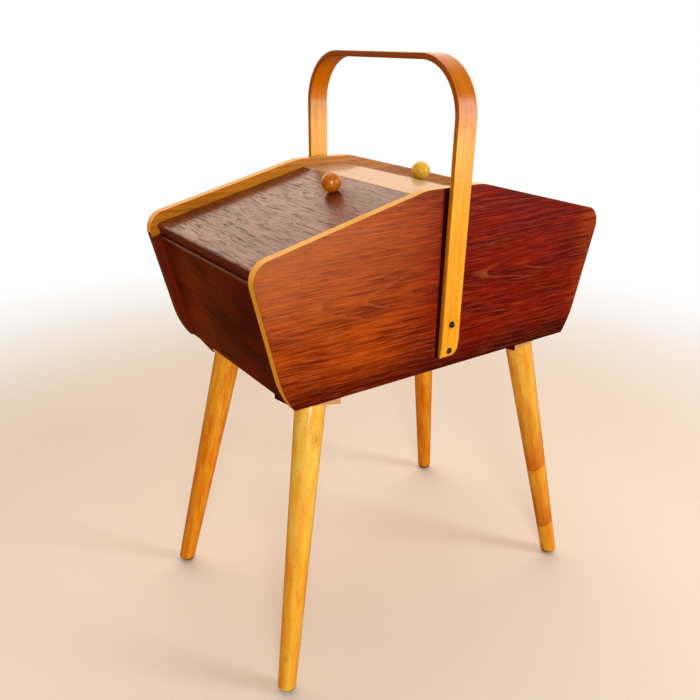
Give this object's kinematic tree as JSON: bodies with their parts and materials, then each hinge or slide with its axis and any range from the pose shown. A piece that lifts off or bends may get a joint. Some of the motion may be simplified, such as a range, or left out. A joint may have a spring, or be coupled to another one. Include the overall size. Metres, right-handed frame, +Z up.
{
  "type": "sewing box on legs",
  "caption": "Wooden sewing carrier on splayed legs: six-sided box with two sloping hinged lids, ball knobs and a bent strap handle.",
  "frame": {"origin": "on the floor under the middle of the box", "axes": "+X along the box to the right lid's end, +Y from the front side panel to the rear one, +Z up"},
  "size_m": [0.4416, 0.2776, 0.6254],
  "materials": {
    "teak": "satin oiled teak veneer, grain along the box on the faces and across it on the lids",
    "dark_teak": "dark polished teak",
    "light_wood": "clear-lacquered light wood",
    "pale_wood": "pale lacquered wood",
    "lacquered_wood": "golden gloss lacquer over light wood",
    "brown_knob_wood": "brown gloss-lacquered turned wood",
    "yellow_knob_wood": "yellow gloss-lacquered turned wood",
    "brass": "dull brass",
    "black_steel": "blackened steel",
    "zinc_steel": "zinc-plated steel",
    "glide_plastic": "dark brown nylon, worn flat where it stands"
  },
  "bodies": {
    "box": {"side_panel_front": "light_wood", "side_panel_rear": "light_wood", "teak_face_front": "teak", "teak_face_rear": "teak", "end_panel_left": "dark_teak", "end_panel_right": "dark_teak", "bottom_panel": "light_wood", "bottom_cleats": "pale_wood", "corner_blocks": "pale_wood", "ridge_board": "pale_wood", "ridge_rail": "light_wood", "hinge_left_panel_leaf": "brass", "hinge_left_pin": "brass", "hinge_left_panel_screws": "brass", "hinge_right_panel_leaf": "brass", "hinge_right_pin": "brass", "hinge_right_panel_screws": "brass", "handle": "lacquered_wood", "handle_screws": "black_steel", "leg_front_left": "lacquered_wood", "leg_front_right": "lacquered_wood", "leg_rear_left": "lacquered_wood", "leg_rear_right": "lacquered_wood", "leg_block_front_left": "pale_wood", "leg_block_front_right": "pale_wood", "leg_block_rear_left": "pale_wood", "leg_block_rear_right": "pale_wood", "leg_bolts": "zinc_steel", "leg_inserts": "brass", "leg_glides": "glide_plastic", "leg_block_screws": "zinc_steel"},
    "lid_left": {"lid_left": "teak", "hinge_left_lid_leaf": "brass", "hinge_left_lid_screws": "brass", "knob_left": "brown_knob_wood", "knob_screw_left": "zinc_steel"},
    "lid_right": {"lid_right": "teak", "hinge_right_lid_leaf": "brass", "hinge_right_lid_screws": "brass", "knob_right": "yellow_knob_wood", "knob_screw_right": "zinc_steel"}
  },
  "joints": [
    {"name": "lid_left_hinge", "type": "hinge", "parent": "box", "child": "lid_left", "pos_m": [-0.21226, 0, 0.44014], "axis": [0, -1, 0], "range_deg": [0, 195]},
    {"name": "lid_right_hinge", "type": "hinge", "parent": "box", "child": "lid_right", "pos_m": [0.21226, 0, 0.44014], "axis": [0, 1, 0], "range_deg": [0, 195]}
  ]
}
